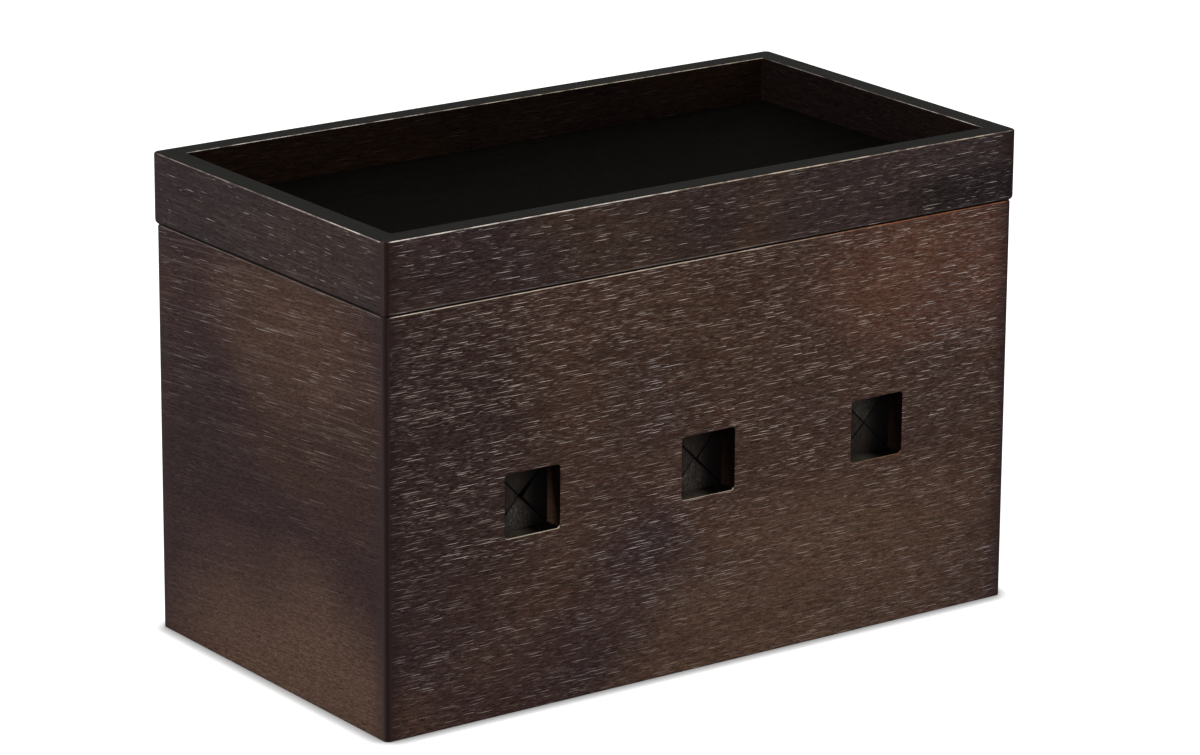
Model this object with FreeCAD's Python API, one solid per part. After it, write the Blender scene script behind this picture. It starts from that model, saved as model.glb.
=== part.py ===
import FreeCAD, Part

import os

from FreeCAD import BoundBox, Vector

# Cable management box: four mitred walls round a bottom board, three cable ports in the front
# that are closed by slit membranes, a lead outlet in the right end, and a shallow tray that
# lifts off as the lid.
# Millimetres. +X runs along the length to the right end, -Y is the front, +Z is up.
# The origin is on the table, under the middle of the box.

# Body
board_thickness = 8.0
body_length = 247.0
body_width = 133.0
body_height = 137.0
body_corner_radius = 2.0
body_inner_radius = 1.0
body_top_edge_radius = 0.7
body_foot_edge_radius = 0.5

# Bottom board, glued into a rabbet so that it lies flush under the walls
bottom_thickness = 6.0
bottom_rabbet = 4.0

# Cable ports in the front wall
port_names = ("left", "middle", "right")
port_size = 21.0
port_corner_radius = 1.2
port_rim_radius = 0.25
port_end_distance = 55.0

# Slit membranes, glued into shallow recesses in the inside of the front wall behind the ports
membrane_thickness = 1.0
membrane_border = 4.5
membrane_corner_radius = 2.0
membrane_recess = 1.0
membrane_clearance = 0.2
flap_clearance = 0.1
flap_half_slit = 0.3
flap_tip_half_width = 0.25

# Lead outlet, low in the right end wall
outlet_size = 40.0
outlet_corner_radius = 3.0
outlet_rim_radius = 0.4
outlet_sill = 14.0

# Tray lid: four mitred rails round a floor that sits in their grooves
lid_overhang = 0.7
rail_height = 24.0
rail_corner_radius = 2.2
rail_inner_radius = 1.0
rail_top_edge_radius = 0.8
rail_inner_edge_radius = 0.5
rail_foot_edge_radius = 1.8
tray_floor_lift = 4.0
tray_floor_thickness = 5.0
tray_groove = 4.0
tray_groove_clearance = 0.2

# Battens under the tray floor, which drop inside the walls and locate the lid
batten_width = 8.0
batten_drop = 6.0
batten_clearance = 1.0
batten_edge_radius = 0.8

# Working values: one overrun for all cuts, one tolerance for all edge searches
overrun = 2.0
edge_tolerance = 0.01
quarter_turn = 90.0
half_turn = 180.0

# Sizes that follow from the ones above
cavity_length = body_length - 2 * board_thickness
cavity_width = body_width - 2 * board_thickness
front_inside = board_thickness - body_width / 2
seat_length = cavity_length + 2 * bottom_rabbet
seat_width = cavity_width + 2 * bottom_rabbet
port_height = body_height / 2
port_spacing = (body_length - 2 * port_end_distance) / (len(port_names) - 1)
membrane_size = port_size + 2 * membrane_border
membrane_outside = front_inside - membrane_recess
lid_length = body_length + 2 * lid_overhang
lid_width = body_width + 2 * lid_overhang
lid_top = body_height + rail_height
tray_length = lid_length - 2 * board_thickness
tray_width = lid_width - 2 * board_thickness
tray_floor_under = body_height + tray_floor_lift
tray_floor_top = tray_floor_under + tray_floor_thickness

# The four sides in order round a ring, and the corner at which each side starts
sides = ("front", "right", "back", "left")
corner_signs = ((-1, -1), (1, -1), (1, 1), (-1, 1))

origin = Vector(0, 0, 0)
along_x = Vector(1, 0, 0)
along_y = Vector(0, 1, 0)
along_z = Vector(0, 0, 1)


def centred_block(length, width, low, high):
    """A block centred on the Z axis, from one height to another."""
    return Part.makeBox(length, width, high - low, Vector(-length / 2, -width / 2, low))


def edges_within(shape, low, high):
    """The edges of a shape that lie wholly inside the box between two corners."""
    reach = BoundBox(low, high)
    reach.enlarge(edge_tolerance)
    return [edge for edge in shape.Edges if reach.isInside(edge.BoundBox)]


def rounded_block(length, width, low, high, radius):
    """A centred block whose four upright edges are rounded."""
    block = centred_block(length, width, low, high)
    upright = [edge for edge in block.Edges if edge.BoundBox.ZLength > edge_tolerance]
    return block.makeFillet(radius, upright)


def soften(shape, length, width, level, radius):
    """Rounds the flat loop of edges at one height, as far out as a centred rectangle."""
    low = Vector(-length / 2, -width / 2, level)
    high = Vector(length / 2, width / 2, level)
    return shape.makeFillet(radius, edges_within(shape, low, high))


def mitred_side(ring, length, width, side):
    """The board on one side of a ring, cut at 45 degrees at both ends."""
    first = sides.index(side)
    start = corner_signs[first]
    end = corner_signs[(first + 1) % len(corner_signs)]
    inward = -board_thickness - overrun
    low = ring.BoundBox.ZMin - overrun
    outline = []
    for (sign_x, sign_y), step in ((start, overrun), (end, overrun), (end, inward), (start, inward)):
        outline.append(Vector(sign_x * (length / 2 + step), sign_y * (width / 2 + step), low))
    wedge = Part.Face(Part.makePolygon(outline + outline[:1]))
    return ring.common(wedge.extrude(along_z * (ring.BoundBox.ZLength + 2 * overrun)))


def square_plug(size, radius):
    """A rounded square plug along +Z that cuts through a board whose face is at zero."""
    return rounded_block(size, size, -overrun, board_thickness + overrun, radius)


def body_ring():
    """The four walls in one piece, with the rabbet for the bottom board."""
    ring = rounded_block(body_length, body_width, 0, body_height, body_corner_radius)
    ring = soften(ring, body_length, body_width, body_height, body_top_edge_radius)
    ring = soften(ring, body_length, body_width, 0, body_foot_edge_radius)
    top = body_height + overrun
    ring = ring.cut(rounded_block(cavity_length, cavity_width, -overrun, top, body_inner_radius))
    return ring.cut(centred_block(seat_length, seat_width, -overrun, bottom_thickness))


def bottom_panel():
    """The bottom board, flush with the feet of the walls."""
    return centred_block(seat_length, seat_width, 0, bottom_thickness)


def port_centres():
    """The name of each cable port and its place along X."""
    middle = (len(port_names) - 1) / 2
    return [(name, (i - middle) * port_spacing) for i, name in enumerate(port_names)]


def front_panel(ring):
    """The front wall, with its square cable ports and the recesses for their membranes."""
    panel = mitred_side(ring, body_length, body_width, "front")
    reach = Vector(port_size / 2, 0, port_size / 2)
    recess_size = membrane_size + 2 * membrane_clearance
    recess_radius = membrane_corner_radius + membrane_clearance
    for _, x in port_centres():
        centre = Vector(x, -body_width / 2, port_height)
        plug = square_plug(port_size, port_corner_radius)
        plug.rotate(origin, along_x, -quarter_turn)
        plug.translate(centre)
        depth = membrane_recess + overrun
        recess = rounded_block(recess_size, recess_size, 0, depth, recess_radius)
        recess.rotate(origin, along_x, -quarter_turn)
        recess.translate(Vector(x, membrane_outside, port_height))
        panel = panel.cut([plug, recess])
        rim = edges_within(panel, centre - reach, centre + reach)
        panel = panel.makeFillet(port_rim_radius, rim)
    return panel


def right_panel(ring):
    """The right end wall, with the lead outlet rounded at both rims."""
    panel = mitred_side(ring, body_length, body_width, "right")
    reach = Vector(0, outlet_size / 2, outlet_size / 2)
    inner = Vector(cavity_length / 2, 0, outlet_sill + outlet_size / 2)
    plug = square_plug(outlet_size, outlet_corner_radius)
    plug.rotate(origin, along_y, quarter_turn)
    plug.translate(inner)
    panel = panel.cut(plug)
    for centre in (inner, inner + along_x * board_thickness):
        rim = edges_within(panel, centre - reach, centre + reach)
        panel = panel.makeFillet(outlet_rim_radius, rim)
    return panel


def membrane_frame(x):
    """The glued border of one membrane, a thin square with the flaps' opening."""
    size = membrane_size
    sheet = rounded_block(size, size, 0, membrane_thickness, membrane_corner_radius)
    beyond = membrane_thickness + overrun
    sheet = sheet.cut(centred_block(port_size, port_size, -overrun, beyond))
    sheet.rotate(origin, along_x, -quarter_turn)
    sheet.translate(Vector(x, membrane_outside, port_height))
    return sheet


def flap(x, turn):
    """One triangular flap of a membrane. With no turn it stands on the port's lower edge.

    Its root is rounded about the line on which it bends, and its corners stay clear of the
    roots beside it, so each flap bends freely whatever the others do.
    """
    root_radius = membrane_thickness / 2
    foot = port_size / 2 - flap_clearance - root_radius
    half_root = foot - root_radius - flap_clearance
    side = [
        (half_root, -foot),
        (half_root, -half_root - flap_half_slit),
        (flap_tip_half_width, -flap_tip_half_width - flap_half_slit),
    ]
    outline = [Vector(u, 0, v) for u, v in side + [(-u, v) for u, v in reversed(side)]]
    blade = Part.Face(Part.makePolygon(outline + outline[:1]))
    blade = blade.extrude(along_y * membrane_thickness)
    root_start = Vector(-half_root, root_radius, -foot)
    root = Part.makeCylinder(root_radius, 2 * half_root, root_start, along_x)
    piece = blade.fuse(root).removeSplitter()
    piece.rotate(origin, along_y, turn)
    piece.translate(Vector(x, membrane_outside, port_height))
    return piece


def lid_ring():
    """The four rails of the tray in one piece, grooved for the tray floor."""
    ring = rounded_block(lid_length, lid_width, body_height, lid_top, rail_corner_radius)
    ring = soften(ring, lid_length, lid_width, lid_top, rail_top_edge_radius)
    ring = soften(ring, lid_length, lid_width, body_height, rail_foot_edge_radius)
    low = body_height - overrun
    high = lid_top + overrun
    ring = ring.cut(rounded_block(tray_length, tray_width, low, high, rail_inner_radius))
    ring = soften(ring, tray_length, tray_width, lid_top, rail_inner_edge_radius)
    groove_length = tray_length + 2 * tray_groove
    groove_width = tray_width + 2 * tray_groove
    return ring.cut(centred_block(groove_length, groove_width, tray_floor_under, tray_floor_top))


def tray_floor():
    """The floor board of the tray, held in the grooves of the rails."""
    tongue = tray_groove - tray_groove_clearance
    length = tray_length + 2 * tongue
    width = tray_width + 2 * tongue
    return centred_block(length, width, tray_floor_under, tray_floor_top)


def batten(side):
    """One batten glued under the tray floor. The end battens fit between the long ones."""
    reach_x = cavity_length / 2 - batten_clearance
    reach_y = cavity_width / 2 - batten_clearance
    low = body_height - batten_drop
    depth = tray_floor_under - low
    if side in ("front", "back"):
        start = Vector(-reach_x, -reach_y, low)
        end = Vector(reach_x, -reach_y, low)
        bar = Part.makeBox(2 * reach_x, batten_width, depth, start)
    else:
        reach_y = reach_y - batten_width
        start = Vector(-reach_x, -reach_y, low)
        end = Vector(-reach_x, reach_y, low)
        bar = Part.makeBox(batten_width, 2 * reach_y, depth, start)
    bar = bar.makeFillet(batten_edge_radius, edges_within(bar, start, end))
    if side in ("back", "right"):
        bar.rotate(origin, along_z, half_turn)
    return bar


def body_nodes():
    """The walls and the bottom board by name."""
    ring = body_ring()
    made = {"front_panel": front_panel(ring), "right_panel": right_panel(ring)}
    for side in ("back", "left"):
        made[side + "_panel"] = mitred_side(ring, body_length, body_width, side)
    made["bottom_panel"] = bottom_panel()
    return made


def membrane_nodes():
    """The frame and the four flaps of each membrane by name."""
    made = {}
    for name, x in port_centres():
        made[name + "_port_membrane_frame"] = membrane_frame(x)
        for i, place in enumerate(("lower", "left", "upper", "right")):
            made[name + "_port_" + place + "_flap"] = flap(x, i * quarter_turn)
    return made


def lid_nodes():
    """The rails, floor and battens of the tray by name."""
    ring = lid_ring()
    made = {"tray_floor": tray_floor()}
    for side in sides:
        made["tray_" + side + "_rail"] = mitred_side(ring, lid_length, lid_width, side)
        made["tray_" + side + "_batten"] = batten(side)
    return made


def main():
    os.makedirs("parts", exist_ok=True)
    for group in (body_nodes(), membrane_nodes(), lid_nodes()):
        for name, shape in group.items():
            if not shape.isValid() or len(shape.Solids) != 1:
                raise ValueError(name + " isn't one sound solid")
            shape.Solids[0].exportStep(os.path.join("parts", name + ".step"))
            print(name, round(shape.Volume, 1))


main()
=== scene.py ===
import math

import bmesh
import bpy
from mathutils import Matrix, Vector
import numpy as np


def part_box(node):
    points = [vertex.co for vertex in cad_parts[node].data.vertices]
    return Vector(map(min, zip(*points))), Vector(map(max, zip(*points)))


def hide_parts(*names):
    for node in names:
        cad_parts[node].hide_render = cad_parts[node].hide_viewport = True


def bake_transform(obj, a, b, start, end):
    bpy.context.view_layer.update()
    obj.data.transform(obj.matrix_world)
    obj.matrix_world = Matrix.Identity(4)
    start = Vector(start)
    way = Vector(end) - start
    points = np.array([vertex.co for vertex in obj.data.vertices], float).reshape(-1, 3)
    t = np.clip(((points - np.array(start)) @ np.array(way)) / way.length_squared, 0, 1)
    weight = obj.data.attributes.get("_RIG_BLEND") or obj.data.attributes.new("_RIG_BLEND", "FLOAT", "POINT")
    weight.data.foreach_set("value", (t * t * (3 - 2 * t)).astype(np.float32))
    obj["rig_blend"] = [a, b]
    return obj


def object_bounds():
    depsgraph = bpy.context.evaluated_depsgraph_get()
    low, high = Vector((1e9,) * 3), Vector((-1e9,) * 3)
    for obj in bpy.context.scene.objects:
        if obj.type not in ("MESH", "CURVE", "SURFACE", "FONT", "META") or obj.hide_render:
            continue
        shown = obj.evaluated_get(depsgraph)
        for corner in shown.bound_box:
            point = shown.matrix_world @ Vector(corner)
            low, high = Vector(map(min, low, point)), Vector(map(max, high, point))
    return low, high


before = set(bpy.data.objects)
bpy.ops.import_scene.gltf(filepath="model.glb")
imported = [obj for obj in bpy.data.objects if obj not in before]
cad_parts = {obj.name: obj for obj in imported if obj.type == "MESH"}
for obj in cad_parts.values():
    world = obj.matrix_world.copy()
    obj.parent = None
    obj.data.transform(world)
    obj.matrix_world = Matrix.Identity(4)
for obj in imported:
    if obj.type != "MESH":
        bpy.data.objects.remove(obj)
CAD_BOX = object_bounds()

# The photograph's view: camera place in metres, angles in degrees, focal length in its pixels
IMAGE_WIDTH = 1200
CAMERA_PLACE = (-0.9856, -1.3707, 0.5917)
CAMERA_YAW = 35.86
CAMERA_PITCH = 16.84
CAMERA_ROLL = 0.39
FOCAL_PIXELS = 5380
SENSOR_WIDTH = 36.0

# Sizes read from the frame
BODY_LOW = Vector((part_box("left_panel")[0].x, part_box("front_panel")[0].y, 0))
BODY_HIGH = Vector((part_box("right_panel")[1].x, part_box("back_panel")[1].y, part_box("left_panel")[1].z))
LID_LOW = Vector((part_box("tray_left_rail")[0].x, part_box("tray_front_rail")[0].y, BODY_HIGH.z))
LID_HIGH = Vector((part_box("tray_right_rail")[1].x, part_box("tray_back_rail")[1].y, CAD_BOX[1].z))
SIDES = ("front", "right", "back", "left")
PORTS = ("left", "middle", "right")
PLACES = ("lower", "left", "upper", "right")
PORT_MIDDLE = BODY_HIGH.z / 2
PORT_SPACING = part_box("right_port_membrane_frame")[0].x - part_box("middle_port_membrane_frame")[0].x
MM = 0.001

# The thickness of the walls and rails, without the joints at their ends
BOARD_THICKNESS = 8 * MM

# The membranes: the width of a border, the gaps along a slit and at a tip, the strip that bends
# at the root of a flap, the strip of painted shade along a slit, and how far off a slit counts as near
MEMBRANE_BORDER = 4.5 * MM
SLIT_GAP = 0.14 * MM
TIP_GAP = 0.16 * MM
SOFT_ROOT = 3.0 * MM
SLIT_SHADE = 0.45 * MM
SLIT_REACH = 1.0 * MM
NEARNESS = "nearness_to_slit"

# How finely a flap is divided, its columns as shares of half its width, and the share of its
# curl that its tip reaches
FLAP_ROWS = 14
FLAP_COLUMNS = 16
COLUMN_SHARES = [2 * j / FLAP_COLUMNS - 1 for j in range(FLAP_COLUMNS + 1)]
CURL_SHARE = 0.75

# The floor: its width, its own paleness, its glow for the camera, and the reach and depth of the
# shadow at the foot of the box
FLOOR_WIDTH = 16
FLOOR_PALE = 0.45
FLOOR_GLOW = 0.95
CONTACT_REACH = 6 * MM
CONTACT_DEPTH = 3.4

# The light: the strength of the even room, and each lamp's place, size and power
ROOM_LIGHT = 0.42
LAMP_AIM = (0, 0, 0.08)
LAMPS = {
    "key": ((-1.3, -1.5, 1.5), (1.4, 1.4), 25),
    "left": ((-1.9, 0.1, 0.9), (1.2, 1.2), 11),
    "fill": ((1.5, -1.4, 0.9), (1.2, 1.2), 11),
    "over": ((0.1, 0.4, 1.9), (1.6, 1.2), 10),
}

# Features of the wood in millimetres: along the grain, through the board and across the grain
SWAY_SIZE = (150, 150, 30)
STREAK_SIZE = (34, 3.0, 1.1)
FIBRE_SIZE = (3.2, 0.36, 0.36)
CLOUD_SIZE = (80, 80, 52)
SPECK_SIZE = (0.8, 0.4, 0.4)
BAND_SIZE = (60, 20, 8)
ROW_SIZE = (40, 20, 0.9)
CHIP_SIZE = (9, 9, 9)
SWAY_DEPTH = 3 * MM

# The dashes: the number of the first row, how many pitches a row can be shifted, half the length
# of a dash as a share of the pitch, and how high it sits in its row, each as a span and a least
FIRST_ROW = 300
ROW_SHIFT = 97.0
HALF_LENGTH_SHARES = (0.28, 0.14)
LIFT_SHARES = (0.6, 0.2)

# Features of the rubber in millimetres: across, through and up the sheet
RUBBER_STREAK_SIZE = (0.35, 0.35, 4.5)
RUBBER_GRAIN_SIZE = (0.5, 0.5, 1.1)

# Where something on a board comes or goes, from the first distance to the second: counted from
# the ends of the board
PORES_FROM_END = (0.8 * MM, 2.6 * MM)
CORNER_FROM_END = (9 * MM, 1 * MM)
ROUNDING_FROM_END = (2.2 * MM, 1.4 * MM)
WEAR_AND_HIGHLIGHT_FROM_END = (1.5 * MM, 3.5 * MM)
PORTS_FROM_END = (10 * MM, 12 * MM)
LINE_BREADTH = (0.7 * MM, 0.2 * MM)

# Counted from the finished face
RIM_DEPTH = (0.3 * MM, 0.2 * MM)
OUTER_EDGE_DEPTH = (0.5 * MM, 0.35 * MM)
INNER_EDGE_DEPTH = (BOARD_THICKNESS - 0.5 * MM, BOARD_THICKNESS - 0.35 * MM)
# The painted shade at the mouth of a port
MOUTH_DEPTH = (6.5 * MM, 0.5 * MM)

# Counted along the front, from the middle height of the ports, up from the table, and across each
# port
FAR_PORTS_RUN = (-60 * MM, -5 * MM)
FOOT_WEAR_AND_HIGHLIGHT_RUN = (0, 60 * MM)
PORT_REACH = 11.5 * MM
# The painted shade in the ports comes in up each reveal, across its foot and across its sheet
REVEAL_HEIGHTS = (PORT_MIDDLE - 9 * MM, PORT_MIDDLE + 6 * MM)
FOOT_TURN = (-4 * MM, 4 * MM)
SHEET_TURN = (-4 * MM, 6 * MM)


class Graph:
    """A material's node tree, with short calls for the nodes that the surfaces are made of."""

    def __init__(self, name):
        self.material = bpy.data.materials.new(name)
        self.material.use_nodes = True
        self.nodes = self.material.node_tree.nodes
        self.links = self.material.node_tree.links
        self.shader = self.nodes["Principled BSDF"]
        coordinates = self.nodes.new("ShaderNodeTexCoord")
        self.place = coordinates.outputs["Object"]
        self.normal = coordinates.outputs["Normal"]

    def put(self, socket, value):
        """Links a socket to an output, or sets it to a number or colour."""
        if isinstance(value, bpy.types.NodeSocket):
            self.links.new(value, socket)
        elif isinstance(value, (tuple, list)) and len(socket.default_value) == 4:
            socket.default_value = (*value[:3], 1.0)
        else:
            socket.default_value = value

    def math(self, operation, *values, clamp=False):
        """The result of one sum, held between 0 and 1 if clamped."""
        node = self.nodes.new("ShaderNodeMath")
        node.operation = operation
        node.use_clamp = clamp
        for socket, value in zip(node.inputs, values):
            self.put(socket, value)
        return node.outputs[0]

    def scaled(self, vector, sizes_mm, offset=(0, 0, 0)):
        """Coordinates counted in features of the given sizes, in millimetres."""
        node = self.nodes.new("ShaderNodeVectorMath")
        node.operation = "MULTIPLY_ADD"
        self.put(node.inputs[0], vector)
        self.put(node.inputs[1], tuple(1 / (size * MM) for size in sizes_mm))
        self.put(node.inputs[2], offset)
        return node.outputs[0]

    def split(self, vector):
        """The three parts of a vector or colour."""
        node = self.nodes.new("ShaderNodeSeparateXYZ")
        self.put(node.inputs[0], vector)
        return node.outputs[0], node.outputs[1], node.outputs[2]

    def join(self, x, y, z):
        """A vector from its three parts."""
        node = self.nodes.new("ShaderNodeCombineXYZ")
        for socket, value in zip(node.inputs, (x, y, z)):
            self.put(socket, value)
        return node.outputs[0]

    def noise(self, vector, detail=2.0, roughness=0.5):
        """Soft random patches, from 0 to 1 and mostly near a half."""
        node = self.nodes.new("ShaderNodeTexNoise")
        self.put(node.inputs["Vector"], vector)
        node.inputs["Scale"].default_value = 1.0
        node.inputs["Detail"].default_value = detail
        node.inputs["Roughness"].default_value = roughness
        return node.outputs["Fac"]

    def chance(self, number):
        """A random number from 0 to 1 for each whole number."""
        node = self.nodes.new("ShaderNodeTexWhiteNoise")
        node.noise_dimensions = "1D"
        self.put(node.inputs["W"], number)
        return node.outputs["Value"]

    def nearest(self, place):
        """How far off the nearest of many scattered points of a line is, and three random
        numbers of that point."""
        node = self.nodes.new("ShaderNodeTexVoronoi")
        node.voronoi_dimensions = "1D"
        self.put(node.inputs["W"], place)
        node.inputs["Scale"].default_value = 1.0
        return self.math("SUBTRACT", place, node.outputs["W"]), *self.split(node.outputs["Color"])

    def ease(self, value, start, end, low=0.0, high=1.0):
        """A smooth step from low to high as the value goes from start to end."""
        node = self.nodes.new("ShaderNodeMapRange")
        node.interpolation_type = "SMOOTHSTEP"
        sockets = (node.inputs["Value"], node.inputs["From Min"], node.inputs["From Max"],
                   node.inputs["To Min"], node.inputs["To Max"])
        for socket, item in zip(sockets, (value, start, end, low, high)):
            self.put(socket, item)
        return node.outputs[0]

    def mix(self, share, first, second, blend="MIX"):
        """The first colour, with a share of the second laid over it."""
        node = self.nodes.new("ShaderNodeMix")
        node.data_type = "RGBA"
        node.blend_type = blend
        self.put(node.inputs["Factor"], share)
        colours = [socket for socket in node.inputs if socket.type == "RGBA"]
        self.put(colours[0], first)
        self.put(colours[1], second)
        return next(socket for socket in node.outputs if socket.type == "RGBA")

    def toned(self, colour, tone):
        """A colour made lighter or darker by a number."""
        return self.mix(1.0, colour, self.join(tone, tone, tone), "MULTIPLY")

    def bump(self, height, distance_mm, strength):
        """Fine relief, which only bends the light."""
        node = self.nodes.new("ShaderNodeBump")
        node.inputs["Strength"].default_value = strength
        node.inputs["Distance"].default_value = distance_mm * MM
        self.put(node.inputs["Height"], height)
        self.put(self.shader.inputs["Normal"], node.outputs[0])


def srgb(red, green, blue):
    """A colour as it looks on screen, from 0 to 255, as the linear values that a shader takes."""
    shares = (red / 255, green / 255, blue / 255)
    return tuple(s / 12.92 if s <= 0.04045 else ((s + 0.055) / 1.055) ** 2.4 for s in shares)


class Board(Graph):
    """Dark stained open-pored wood on one board of a ring. The finished face is dashed with light
    pores along the grain, while the inner face, the top and the reveals of the ports have stains
    of their own. Painted shade darkens the inside of the tray, the reveals and the seam under the
    lid, the corner roundings get painted light and shade, and painted highlights run along the
    edges with the wear. Places are counted from the board's own ends and finished face."""

    def __init__(self, name, lie, palette, seed):
        super().__init__(name)
        self.palette = palette
        self.seed = seed
        x, y, self.z = self.split(self.place)
        normal_x, normal_y, self.facing_up = self.split(self.normal)
        self.run, across, facing = (x, y, normal_y) if lie["along"] == "X" else (y, x, normal_x)
        self.end = self.math("SUBTRACT", lie["half_run"], self.math("ABSOLUTE", self.run))
        self.depth = self.math("MULTIPLY_ADD", across, -lie["sign"], lie["face"] * lie["sign"])
        self.facing_out = self.math("MULTIPLY", facing, lie["sign"])
        self.straight = self.join(self.run, across, self.z)
        sway = self.noise(self.scaled(self.straight, SWAY_SIZE, (seed, 0, seed)), 1.0, 0.45)
        bent = self.math("MULTIPLY_ADD", self.math("SUBTRACT", sway, 0.5), SWAY_DEPTH, self.z)
        bent = self.math("MULTIPLY_ADD", self.run, palette["slope"], bent)
        self.grain = self.join(self.run, across, bent)
        self.rise = bent
        self.streak = self.noise(self.scaled(self.grain, STREAK_SIZE, (0, seed, seed)), 3.0, 0.65)
        self.fibre = self.noise(self.scaled(self.grain, FIBRE_SIZE, (seed, 0, 0)), 2.0, 0.6)

    def lay(self, share, colour):
        """Lays a colour over the stain, fully where the share is 1."""
        self.stain = self.mix(share, self.stain, colour)

    def stained(self):
        """The stain itself: cool and warm clouds, wide patches, and streaks along the grain. Some
        patches are stain, and some are painted light and shade.
        """
        palette, seed = self.palette, self.seed
        cloud = self.noise(self.scaled(self.place, CLOUD_SIZE, (seed, seed, 0)), 2.5, 0.5)
        self.warmth = self.ease(cloud, 0.62 - palette["warmth"], 0.84 - palette["warmth"])
        self.stain = self.mix(self.warmth, palette["cool"], palette["warm"])
        for patch_run, patch_z, reach_run, reach_z, colour, share in palette["stain_and_light_patches"]:
            off_run = self.math("MULTIPLY_ADD", self.run, 1 / reach_run, -patch_run / reach_run)
            off_z = self.math("MULTIPLY_ADD", self.z, 1 / reach_z, -patch_z / reach_z)
            off = self.math("MULTIPLY_ADD", off_z, off_z, self.math("MULTIPLY", off_run, off_run))
            off = self.math("MULTIPLY_ADD", cloud, -1.2, self.math("ADD", off, 0.6))
            self.lay(self.ease(off, 1.0, 0.0, 0.0, share), colour)
        speck = self.noise(self.scaled(self.straight, SPECK_SIZE, (seed, 0, 9)), 1.0, 0.5)
        strength = palette["speck"]
        specks = self.math("MULTIPLY_ADD", speck, strength, 1 - strength / 2)
        tone = self.math("ADD", self.streak, 0.5)
        tone = self.math("MULTIPLY", tone, self.math("MULTIPLY_ADD", self.fibre, 2.4, -0.2))
        self.tone = self.math("MULTIPLY", tone, specks)
        self.stain = self.toned(self.stain, self.tone)

    def dashes(self, pitch, half_width, kept, shift):
        """Thin dashes in rows along the grain, spaced by the pitch in each row and from row to
        row, in millimetres. Each row is shifted at random, and a share of the dashes is kept."""
        level = self.math("MULTIPLY_ADD", self.rise, 1 / (pitch[1] * MM), FIRST_ROW + self.seed + shift)
        row = self.math("FLOOR", level)
        start = self.math("MULTIPLY", self.chance(row), ROW_SHIFT)
        along = self.math("MULTIPLY_ADD", self.run, 1 / (pitch[0] * MM), start)
        off_run, chance, length, lift = self.nearest(along)
        reach = self.math("DIVIDE", off_run, self.math("MULTIPLY_ADD", length, *HALF_LENGTH_SHARES))
        height = self.math("MULTIPLY_ADD", lift, *LIFT_SHARES)
        off_row = self.math("SUBTRACT", self.math("SUBTRACT", level, row), height)
        off = self.math("DIVIDE", self.math("ABSOLUTE", off_row), half_width / pitch[1])
        off = self.math("MULTIPLY_ADD", reach, reach, off)
        depth = self.math("POWER", self.ease(chance, 1 - kept, 1.0), 1.5)
        return self.math("MULTIPLY", self.ease(off, 1.0, 0.4), depth)

    def pored(self):
        """Light pores, crowded in some bands, few on the inner face and none near the ends."""
        palette, seed = self.palette, self.seed
        self.inner = self.ease(self.facing_out, -0.2, -0.8)
        # The inner face: a darker stain, with painted shade inside the tray
        self.lay(self.inner, self.mix(1.0, self.stain, palette["inner_stain_and_shade"], "MULTIPLY"))
        band = self.noise(self.scaled(self.grain, BAND_SIZE, (seed, 3, seed)), 2.0, 0.6)
        row = self.noise(self.scaled(self.grain, ROW_SIZE, (3, seed, seed)), 1.5, 0.6)
        crowd = self.ease(self.math("MULTIPLY_ADD", row, 0.5, band), 0.55, 0.88, palette["even"], 1.0)
        calm_low, calm_high, calm_share = palette["calm"]
        crowd = self.math("MULTIPLY", crowd, self.ease(self.z, calm_low, calm_high, calm_share, 1.0))
        crowd = self.math("MULTIPLY", crowd, self.ease(self.end, *PORES_FROM_END))
        fewer = self.math("MULTIPLY_ADD", self.inner, palette["inner_pores"] - 1, 1.0)
        crowd = self.math("MULTIPLY", crowd, fewer)
        crowd = self.math("MULTIPLY", crowd, self.ease(self.math("ABSOLUTE", self.facing_out), 0.3, 0.7))
        crest = self.noise(self.scaled(self.grain, palette["fine_dash"], (seed, seed, seed)), 2.0, 0.6)
        fine = self.ease(crest, 0.5, 0.72, 0.0, palette["fine_depth"])
        filler = self.mix(self.warmth, palette["pore"], palette["warm_pore"])
        self.lay(self.math("MULTIPLY", fine, crowd), filler)
        long = self.dashes(palette["long_pitch"], palette["long_half"], palette["long_kept"], 0.0)
        short = self.dashes(palette["short_pitch"], palette["short_half"], palette["short_kept"], 5.3)
        self.pore = self.math("MULTIPLY_ADD", short, palette["short_depth"], long)
        self.pore = self.math("MULTIPLY", self.pore, crowd, clamp=True)
        self.lay(self.pore, filler)

    def topped(self):
        """The stain of the top, and the colour of the underside, which on the rails of the tray is
        near black: painted shade in the seam over the body.
        """
        self.lay(self.ease(self.facing_up, 0.9, 0.97), self.toned(self.palette["top"], self.tone))
        # The underside; on the rails its near black is painted shade in the seam between lid and body
        turn = self.palette["under_turn"]
        self.lay(self.ease(self.facing_up, turn, turn - 0.14), self.palette["under"])

    def cornered(self):
        """Stain near the upright corners, darker on the front and back. The rounding itself gets
        painted light and shade, darker on the front and back boards and paler on the ends, with a thin
        line of painted shade along it.
        """
        palette = self.palette
        near = self.ease(self.end, *CORNER_FROM_END, 0.0, 0.6)
        near = self.math("MULTIPLY", near, self.ease(self.facing_out, 0.1, 0.6))
        self.lay(near, palette["corner"])
        # Painted light and shade on the rounding of the corner
        self.lay(self.ease(self.end, *ROUNDING_FROM_END, 0.0, 0.9), palette["rounding"])
        # A thin line of painted shade along the rounding
        off_line = self.math("ABSOLUTE", self.math("SUBTRACT", self.end, palette["line_end"]))
        self.lay(self.ease(off_line, *LINE_BREADTH, 0.0, palette["line_depth"]), palette["line"])

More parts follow.
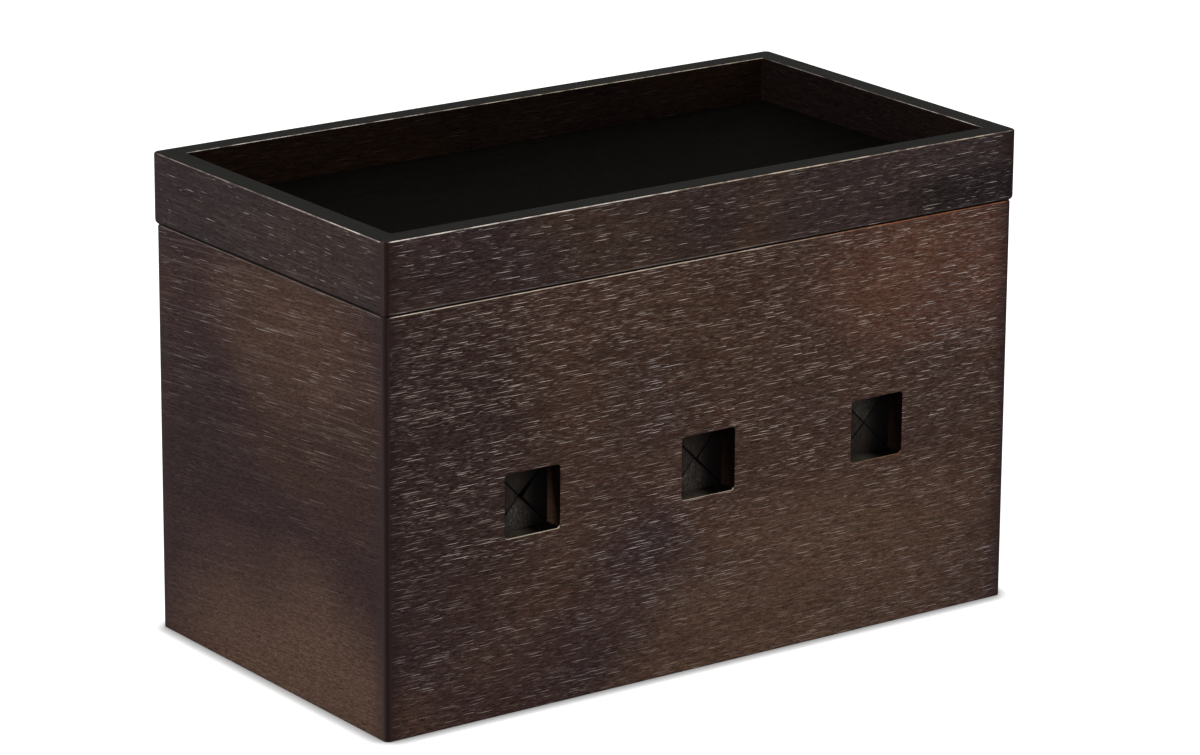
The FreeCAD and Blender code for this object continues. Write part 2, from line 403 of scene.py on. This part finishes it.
    def revealed(self):
        """The reveals of the ports, darker further right. Painted shade darkens the upper part of each
        reveal, the part near its mouth and the right of its foot, and each has a pale lower rim that
        is partly wear and partly painted highlight.
        """
        palette = self.palette
        off_middle = self.math("ABSOLUTE", self.math("SUBTRACT", self.z, PORT_MIDDLE))
        level = self.math("LESS_THAN", off_middle, PORT_REACH)
        level = self.math("MULTIPLY", level, self.ease(self.end, *PORTS_FROM_END))
        far = self.ease(self.run, *FAR_PORTS_RUN)
        side = self.mix(far, palette["reveal_near"], palette["reveal_far"])
        # Painted shade: the upper part of a reveal and the part near its mouth darken towards near black
        shaded = self.ease(self.z, *REVEAL_HEIGHTS, 0.0, 0.65)
        outer = self.ease(self.depth, *MOUTH_DEPTH, 0.0, 0.95)
        side = self.mix(self.math("ADD", shaded, outer, clamp=True), side, srgb(12, 6, 5))
        across_port = self.math("WRAP", self.run, PORT_SPACING / 2, -PORT_SPACING / 2)
        # Painted shade: the foot of each port turns near black towards its right
        foot = self.mix(self.ease(across_port, *FOOT_TURN), palette["reveal_foot"], srgb(5, 5, 4))
        side = self.mix(self.ease(self.facing_up, 0.3, 0.9), side, foot)
        sunk = self.math("SUBTRACT", level, self.inner, clamp=True)
        sunk = self.math("MULTIPLY", sunk, self.ease(self.facing_out, 0.95, 0.7))
        self.lay(sunk, self.toned(side, self.tone))
        # The pale lower rim: partly wear, partly painted highlight
        rim = self.math("MULTIPLY", self.ease(self.facing_up, 0.1, 0.35),
                        self.ease(self.depth, *RIM_DEPTH))
        rim = self.math("MULTIPLY", rim, self.math("MULTIPLY", level, 0.42))
        self.lay(rim, self.mix(far, palette["rim_near"], palette["rim_far"]))

    def paint_wear_and_highlight(self):
        """Thin pale lines along the upper edges of both faces and the lower edge of the outer one,
        partly wear and partly painted highlight where the rounded edges catch the light.
        """
        palette = self.palette
        chips = self.noise(self.scaled(self.straight, CHIP_SIZE, (0, self.seed, 0)), 3.0, 0.7)
        # The upper edges: wear and a painted highlight on the part of the rounding that faces up
        upward = self.math("MULTIPLY", self.ease(self.facing_up, 0.45, 0.6),
                           self.ease(self.facing_up, 0.88, 0.78))
        outer = self.ease(self.depth, *OUTER_EDGE_DEPTH)
        inside = self.ease(self.depth, *INNER_EDGE_DEPTH)
        wear_and_highlight = self.math("MULTIPLY", upward, self.math("ADD", outer, inside), clamp=True)
        chipped = self.ease(chips, 0.36, 0.62, palette["wear_and_highlight_low"], palette["wear_and_highlight"])
        wear_and_highlight = self.math("MULTIPLY", wear_and_highlight, chipped)
        clear = self.ease(self.end, *WEAR_AND_HIGHLIGHT_FROM_END)
        far = self.ease(self.run, *palette["edge_run"])
        self.lay(self.math("MULTIPLY", wear_and_highlight, clear), self.mix(far, palette["edge"], palette["far_edge"]))
        # The lower edge of the outer face: wear and a painted highlight of the light from the floor
        downward = self.math("MULTIPLY", self.ease(self.facing_up, -0.2, -0.34),
                             self.ease(self.facing_up, -0.58, -0.46))
        downward = self.math("MULTIPLY", downward, self.ease(self.facing_out, 0.2, 0.4))
        wear_and_highlight = self.ease(self.run, *FOOT_WEAR_AND_HIGHLIGHT_RUN, palette["foot_wear_and_highlight"], palette["foot_wear_and_highlight"] * 0.3)
        wear_and_highlight = self.math("MULTIPLY", wear_and_highlight, self.ease(chips, 0.3, 0.6, 0.4, 1.0))
        wear_and_highlight = self.math("MULTIPLY", self.math("MULTIPLY", wear_and_highlight, downward), clear)
        self.lay(wear_and_highlight, palette["edge"])

    def finish(self):
        """The stain with its gloss and relief: the pores are rougher and sunk."""
        self.put(self.shader.inputs["Base Color"], self.stain)
        rough = self.math("MULTIPLY_ADD", self.streak, 0.16, 0.42)
        rough = self.math("MULTIPLY_ADD", self.pore, 0.2, rough)
        self.put(self.shader.inputs["Roughness"], rough)
        self.shader.inputs["Specular IOR Level"].default_value = self.palette["shine"]
        height = self.math("MULTIPLY_ADD", self.pore, -1.0, self.math("MULTIPLY", self.fibre, 0.6))
        self.bump(height, 0.05, 0.5)
        return self.material


def wood(name, lie, palette, seed):
    """The material of one board, built up layer by layer."""
    board = Board(name, lie, palette, seed)
    board.stained()
    board.pored()
    board.topped()
    board.cornered()
    if "reveal_near" in palette:
        board.revealed()
    board.paint_wear_and_highlight()
    return board.finish()


BODY_PALETTE = {
    "cool": srgb(50, 36, 36),
    "warm": srgb(62, 44, 37),
    "warmth": 0.24,
    "stain_and_light_patches": [],
    "slope": 0.0,
    "speck": 1.5,
    "pore": srgb(243, 232, 232),
    "warm_pore": srgb(236, 216, 202),
    "even": 0.35,
    "calm": (10 * MM, 80 * MM, 0.52),
    "fine_dash": (2.6, 0.26, 0.26),
    "fine_depth": 0.08,
    "long_pitch": (14, 0.75),
    "long_half": 0.073,
    "long_kept": 1.0,
    "short_pitch": (5.2, 0.54),
    "short_half": 0.057,
    "short_kept": 0.8,
    "short_depth": 0.6,
    "inner_stain_and_shade": (0.55, 0.5, 0.48),
    "inner_pores": 0.15,
    "top": srgb(50, 37, 32),
    "under": srgb(30, 24, 22),
    "under_turn": -0.5,
    "corner": srgb(34, 25, 27),
    "rounding": srgb(44, 33, 33),
    "line": srgb(26, 14, 13),
    "line_end": 0.7 * MM,
    "line_depth": 0.6,
    # The pale colours of the edges: wear and painted highlight
    "edge": srgb(235, 215, 195),
    "far_edge": srgb(165, 104, 66),
    "edge_run": (-10 * MM, 75 * MM),
    "wear_and_highlight": 1.0,
    "wear_and_highlight_low": 0.5,
    "foot_wear_and_highlight": 0.0,
    "shine": 0.015,
}
LID_PALETTE = dict(
    BODY_PALETTE,
    cool=srgb(48, 36, 35),
    warm=srgb(60, 45, 36),
    even=0.45,
    calm=(BODY_HIGH.z - MM, BODY_HIGH.z, 1.0),
    fine_depth=0.05,
    long_pitch=(13, 0.9),
    long_half=0.062,
    long_kept=0.65,
    short_half=0.05,
    short_kept=0.42,
    inner_stain_and_shade=(0.24, 0.21, 0.2),
    inner_pores=0.05,
    top=srgb(12, 11, 8),
    # The rails' underside: painted shade in the seam below them
    under=srgb(4, 3, 3),
    corner=srgb(28, 21, 23),
    rounding=srgb(42, 30, 28),
    line=srgb(34, 20, 16),
    line_end=1.5 * MM,
    edge=srgb(215, 205, 195),
    far_edge=srgb(195, 180, 160),
    edge_run=(-60 * MM, 10 * MM),
    wear_and_highlight_low=0.15,
    foot_wear_and_highlight=0.14,
    shine=0.01,
)
FRONT_WALL = {
    "warmth": 0.3,
    "stain_and_light_patches": [
        (98 * MM, 118 * MM, 62 * MM, 36 * MM, srgb(88, 58, 45), 0.7),
        (-112 * MM, 88 * MM, 60 * MM, 80 * MM, srgb(44, 31, 30), 0.9),
        (50 * MM, 12 * MM, 120 * MM, 52 * MM, srgb(80, 60, 48), 0.9),
        (-18 * MM, 110 * MM, 62 * MM, 40 * MM, srgb(62, 44, 34), 0.7),
    ],
    "reveal_near": srgb(82, 60, 48),
    "reveal_far": srgb(36, 23, 19),
    "reveal_foot": srgb(58, 53, 48),
    "rim_near": srgb(215, 198, 170),
    "rim_far": srgb(88, 78, 70),
}
END_WALL = {
    "cool": srgb(49, 35, 35),
    "warm": srgb(56, 40, 35),
    "warmth": 0.1,
    "stain_and_light_patches": [
        # Lighter at the top and at the foot, with a darker patch between: painted light from above and from
        # the floor
        (-10 * MM, 122 * MM, 58 * MM, 34 * MM, srgb(77, 56, 45), 0.7),
        (52 * MM, 74 * MM, 50 * MM, 34 * MM, srgb(45, 32, 33), 0.8),
        (-10 * MM, 0, 95 * MM, 56 * MM, srgb(86, 65, 54), 0.9),
    ],
    "slope": 0.08,
    "speck": 1.6,
    "pore": srgb(205, 190, 184),
    "warm_pore": srgb(208, 186, 168),
    "calm": (50 * MM, 122 * MM, 0.2),
    "fine_dash": (24, 0.4, 0.36),
    "fine_depth": 0.12,
    "long_pitch": (17, 0.9),
    "long_half": 0.07,
    "long_kept": 0.62,
    "short_pitch": (6, 0.8),
    "short_half": 0.07,
    "short_kept": 0.42,
    "short_depth": 0.5,
    "corner": srgb(54, 42, 43),
    "rounding": srgb(56, 45, 45),
    "edge": srgb(120, 108, 102),
    "far_edge": srgb(120, 108, 102),
}
FRONT_RAIL = {
    "stain_and_light_patches": [
        (75 * MM, 152 * MM, 66 * MM, 40 * MM, srgb(49, 39, 40), 0.8),
        # A near black patch at the lower right of the lid front: a painted dark reflection
        (116 * MM, 143 * MM, 50 * MM, 12 * MM, srgb(24, 20, 20), 0.75),
    ],
}
END_RAIL = {
    "cool": srgb(50, 41, 41),
    "warm": srgb(56, 45, 42),
    "under_turn": -0.25,
    "speck": 0.9,
    "fine_dash": (14, 0.4, 0.35),
    "fine_depth": 0.06,
    "long_pitch": (11, 1.0),
    "long_kept": 0.3,
    "short_pitch": (4, 0.9),
    "short_half": 0.06,
    "short_kept": 0.24,
    "corner": srgb(50, 40, 41),
    "rounding": srgb(58, 47, 47),
    "edge": srgb(200, 190, 182),
    "far_edge": srgb(130, 120, 112),
    "line_depth": 0.0,
    "foot_wear_and_highlight": 0.0,
}
# The back rail's inner face is darker still: painted shade
BACK_RAIL = {"inner_stain_and_shade": (0.17, 0.15, 0.14)}
PLAIN_BOARD = dict(
    BODY_PALETTE,
    cool=srgb(44, 33, 31),
    warm=srgb(56, 42, 37),
    top=srgb(44, 33, 30),
    wear_and_highlight=0.2,
    wear_and_highlight_low=0.1,
)
# The tray floor is near black: its dark stain with painted shade inside the tray
TRAY_FLOOR = dict(
    LID_PALETTE,
    cool=srgb(9, 8, 7),
    warm=srgb(17, 16, 12),
    top=srgb(9, 8, 7),
    shine=0.001,
)


def board_at(side, low, high):
    """Which way a board of a ring runs, where its finished face lies, and which way that looks."""
    along = "X" if side in ("front", "back") else "Y"
    sign = 1 if side in ("back", "right") else -1
    corner = high if sign > 0 else low
    face, half_run = (corner.y, high.x) if along == "X" else (corner.x, high.y)
    return {"along": along, "sign": sign, "face": face, "half_run": half_run}


def use_material(node, material):
    """Gives a CAD node its material."""
    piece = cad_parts[node]
    piece.data.materials.clear()
    piece.data.materials.append(material)


def dress_boards():
    """The walls of the body and the rails of the tray."""
    walls = {"front": FRONT_WALL, "left": END_WALL, "right": END_WALL, "back": {}}
    rails = {"front": FRONT_RAIL, "left": END_RAIL, "right": END_RAIL, "back": BACK_RAIL}
    for i, side in enumerate(SIDES):
        palette = dict(BODY_PALETTE, **walls[side])
        wall = wood(side + "_wall_wood", board_at(side, BODY_LOW, BODY_HIGH), palette, 3.1 + 7.7 * i)
        use_material(side + "_panel", wall)
        palette = dict(LID_PALETTE, **rails[side])
        rail = wood(side + "_rail_wood", board_at(side, LID_LOW, LID_HIGH), palette, 41.9 + 5.3 * i)
        use_material("tray_" + side + "_rail", rail)


def dress_inside():
    """The bottom board, the tray floor and the battens, which have one plain stain each; the tray
    floor's near black is partly painted shade.
    """
    front = board_at("front", BODY_LOW, BODY_HIGH)
    use_material("bottom_panel", wood("bottom_wood", front, PLAIN_BOARD, 71.3))
    use_material("tray_floor", wood("tray_floor_wood", front, TRAY_FLOOR, 83.9))
    for side in SIDES:
        lie = board_at(side, BODY_LOW, BODY_HIGH)
        use_material("tray_" + side + "_batten", wood(side + "_batten_wood", lie, PLAIN_BOARD, 91.0))


def rubber(name, pale, dark, grit):
    """Matt dark sheet with fine upright streaks, with painted shade towards the right of each port
    and along the slits."""
    graph = Graph(name)
    x = graph.split(graph.place)[0]
    across_port = graph.math("WRAP", x, PORT_SPACING / 2, -PORT_SPACING / 2)
    streak = graph.noise(graph.scaled(graph.place, RUBBER_STREAK_SIZE), 3.0, 0.6)
    grain = graph.noise(graph.scaled(graph.place, RUBBER_GRAIN_SIZE), 2.0, 0.6)
    colour = graph.mix(graph.ease(streak, 0.3, 0.75), dark, pale)
    colour = graph.mix(graph.ease(grain, 0.5, 0.75, 0.0, grit), colour, srgb(120, 112, 104))
    # Painted shade towards the right of each port
    colour = graph.mix(graph.ease(across_port, *SHEET_TURN, 0.0, 0.95), colour, srgb(5, 4, 4))
    # Painted shade along the slits
    slit = graph.nodes.new("ShaderNodeAttribute")
    slit.attribute_name = NEARNESS
    shade = graph.ease(slit.outputs["Fac"], 1 - SLIT_SHADE / SLIT_REACH, 1.0, 0.0, 0.9)
    colour = graph.mix(shade, colour, srgb(3, 3, 3))
    graph.put(graph.shader.inputs["Base Color"], colour)
    graph.put(graph.shader.inputs["Roughness"], graph.math("MULTIPLY_ADD", grain, 0.15, 0.5))
    graph.shader.inputs["Specular IOR Level"].default_value = 0.03
    graph.bump(streak, 0.05, 0.4)
    return graph.material


def flap_rows(half):
    """Each row of a flap from its root up: its share of the way, its height and half its width."""
    for i in range(FLAP_ROWS + 1):
        risen = i / FLAP_ROWS
        height = risen * (half - TIP_GAP)
        yield risen, height, half - height - SLIT_GAP


def flap_points(half, curl_degrees, depth):
    """Rows of points on one side of a flap, from its root up to its tip. It bends more and more
    on the way up, and its two edges run along the slits."""
    rows = []
    for risen, height, reach in flap_rows(half):
        angle = math.radians(curl_degrees) * risen * CURL_SHARE
        y = depth * math.cos(angle) + height * math.sin(angle)
        z = height * math.cos(angle) - depth * math.sin(angle) - half
        rows.append([(reach * share, y, z) for share in COLUMN_SHARES])
    return rows


def slit_nearness(half):
    """For each of those points, 1 at the nearest slit, 0 at its reach and less further off. The
    slits run at 45 degrees, so the way to one is shorter than the way along the row."""
    rows = []
    for *_, reach in flap_rows(half):
        off = [reach * (1 - abs(share)) / math.sqrt(2) for share in COLUMN_SHARES]
        rows.append([1 - distance / SLIT_REACH for distance in off])
    return rows


def add_grid(mesh, points, nearness):
    """Adds a grid of points to a mesh, each with its nearness to a slit."""
    layer = mesh.verts.layers.float[NEARNESS]
    grid = [[mesh.verts.new(point) for point in row] for row in points]
    for row, values in zip(grid, nearness):
        for vertex, value in zip(row, values):
            vertex[layer] = value
    return grid


def sheet_mesh(name, near, far, nearness, place):
    """A closed sheet between two grids of points, set in place."""
    mesh = bmesh.new()
    mesh.verts.layers.float.new(NEARNESS)
    near, far = (add_grid(mesh, points, nearness) for points in (near, far))
    last_row, last_column = len(near) - 1, len(near[0]) - 1
    for i in range(last_row):
        for j in range(last_column):
            mesh.faces.new((near[i][j], near[i][j + 1], near[i + 1][j + 1], near[i + 1][j]))
            mesh.faces.new((far[i][j], far[i + 1][j], far[i + 1][j + 1], far[i][j + 1]))
        for j in (0, last_column):
            mesh.faces.new((near[i][j], near[i + 1][j], far[i + 1][j], far[i][j]))
    for i in (0, last_row):
        for j in range(last_column):
            mesh.faces.new((near[i][j], far[i][j], far[i][j + 1], near[i][j + 1]))
    bmesh.ops.recalc_face_normals(mesh, faces=mesh.faces)
    mesh.transform(place)
    data = bpy.data.meshes.new(name)
    mesh.to_mesh(data)
    mesh.free()
    return data


def flap_piece(port, place, curl_degrees, material):
    """A flap as bending sheet, from the membrane's border to its tip, in place of the CAD flap."""
    node = port + "_port_" + place + "_flap"
    low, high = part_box(port + "_port_membrane_frame")
    half = (high.x - low.x) / 2 - MEMBRANE_BORDER
    thickness = high.y - low.y
    near, far = (flap_points(half, curl_degrees, depth) for depth in (-thickness / 2, thickness / 2))
    turn = Matrix.Rotation(PLACES.index(place) * math.pi / 2, 4, "Y")
    set_in = Matrix.Translation((low + high) / 2) @ turn
    mesh = sheet_mesh(node + "_sheet", near, far, slit_nearness(half), set_in)
    piece = bpy.data.objects.new(node + "_sheet", mesh)
    bpy.context.scene.collection.objects.link(piece)
    piece.data.materials.append(material)
    root, bent = (set_in @ Vector((0, 0, rise - half)) for rise in (0, SOFT_ROOT))
    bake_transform(piece, "box", node, start=root, end=bent)
    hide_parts(node)


def make_membranes():
    """The borders keep their CAD shape, and the flaps become bending sheets, each curled a few
    degrees, inwards where positive. One flap of each port is paler and grittier: partly dust from
    use, partly painted light on the flap that faces the light most."""
    smooth = rubber("membrane_rubber", srgb(52, 45, 40), srgb(32, 27, 24), 0.1)
    # Paler, grittier rubber: partly dust, partly painted light
    dusty_and_lit = rubber("dusty_and_lit_rubber", srgb(68, 63, 58), srgb(38, 34, 31), 0.5)
    dusted_and_lit = {"left": "lower", "middle": "lower", "right": "upper"}
    curls = {
        "left": (7, 6, 5, -9),
        "middle": (6, 3, -3, -5),
        "right": (-3, -3, -1, 1),
    }
    for port in PORTS:
        use_material(port + "_port_membrane_frame", smooth)
        for place, curl in zip(PLACES, curls[port]):
            flap_piece(port, place, curl, dusty_and_lit if dusted_and_lit[port] == place else smooth)


def make_camera():
    """The photograph's camera, from its place, its angles and its focal length."""
    yaw, pitch, roll = (math.radians(a) for a in (CAMERA_YAW, CAMERA_PITCH, CAMERA_ROLL))
    forward = Vector((
        math.sin(yaw) * math.cos(pitch), math.cos(yaw) * math.cos(pitch), -math.sin(pitch),
    ))
    right = forward.cross(Vector((0, 0, 1))).normalized()
    up = right.cross(forward)
    right, up = (
        right * math.cos(roll) + up * math.sin(roll),
        up * math.cos(roll) - right * math.sin(roll),
    )
    data = bpy.data.cameras.new("camera")
    data.sensor_width = SENSOR_WIDTH
    data.lens = FOCAL_PIXELS * SENSOR_WIDTH / IMAGE_WIDTH
    data.clip_start = 0.05
    data.clip_end = 50
    camera = bpy.data.objects.new("camera", data)
    bpy.context.scene.collection.objects.link(camera)
    axes = Matrix((right, up, -forward)).transposed().to_4x4()
    camera.matrix_world = Matrix.Translation(CAMERA_PLACE) @ axes
    bpy.context.scene.camera = camera


def seen_directly(nodes, links):
    """1 for the camera and what mirrors or glass show it, and 0 for light that falls on things."""
    path = nodes.new("ShaderNodeLightPath")
    seen = path.outputs["Is Camera Ray"]
    for ray in ("Is Glossy Ray", "Is Transmission Ray"):
        either = nodes.new("ShaderNodeMath")
        either.operation = "MAXIMUM"
        links.new(seen, either.inputs[0])
        links.new(path.outputs[ray], either.inputs[1])
        seen = either.outputs[0]
    return seen


def make_floor():
    """A pale floor that looks white, with a narrow soft shadow along the foot of the box."""
    bpy.ops.mesh.primitive_plane_add(size=FLOOR_WIDTH, location=(0, 0, 0))
    floor = bpy.context.object
    floor.name = "floor"
    graph = Graph("floor_white")
    shader = graph.shader
    graph.put(shader.inputs["Base Color"], (FLOOR_PALE, FLOOR_PALE, FLOOR_PALE))
    shader.inputs["Roughness"].default_value = 0.9
    shader.inputs["Specular IOR Level"].default_value = 0.0
    contact = graph.nodes.new("ShaderNodeAmbientOcclusion")
    contact.samples = 8
    contact.inputs["Distance"].default_value = CONTACT_REACH
    shade = graph.math("POWER", contact.outputs["AO"], CONTACT_DEPTH)
    glow = graph.math("MULTIPLY", seen_directly(graph.nodes, graph.links), FLOOR_GLOW)
    graph.put(shader.inputs["Emission Color"], (1, 1, 1))
    graph.put(shader.inputs["Emission Strength"], graph.math("MULTIPLY", shade, glow))
    floor.data.materials.append(graph.material)


def make_world():
    """An even pale room, which the camera sees as white."""
    world = bpy.data.worlds.new("room")
    bpy.context.scene.world = world
    world.use_nodes = True
    nodes, links = world.node_tree.nodes, world.node_tree.links
    background = nodes["Background"]
    background.inputs["Color"].default_value = (1, 1, 1, 1)
    strength = nodes.new("ShaderNodeMapRange")
    links.new(seen_directly(nodes, links), strength.inputs["Value"])
    strength.inputs["To Min"].default_value = ROOM_LIGHT
    strength.inputs["To Max"].default_value = 1.0
    links.new(strength.outputs[0], background.inputs["Strength"])


def area_light(name, place, size, watts):
    """A soft lamp, turned to the middle of the box."""
    data = bpy.data.lights.new(name, "AREA")
    data.shape = "RECTANGLE"
    data.size, data.size_y = size
    data.energy = watts
    light = bpy.data.objects.new(name, data)
    bpy.context.scene.collection.objects.link(light)
    light.location = place
    light.rotation_euler = (Vector(LAMP_AIM) - Vector(place)).to_track_quat("-Z", "Y").to_euler()


def make_lights():
    """A large soft key over the front left corner, weaker fills at both sides and one overhead."""
    for name, (place, size, watts) in LAMPS.items():
        area_light(name, place, size, watts)


make_camera()
dress_boards()
dress_inside()
make_membranes()
make_floor()
make_world()
make_lights()

scene = bpy.context.scene
scene.view_settings.view_transform = "Standard"
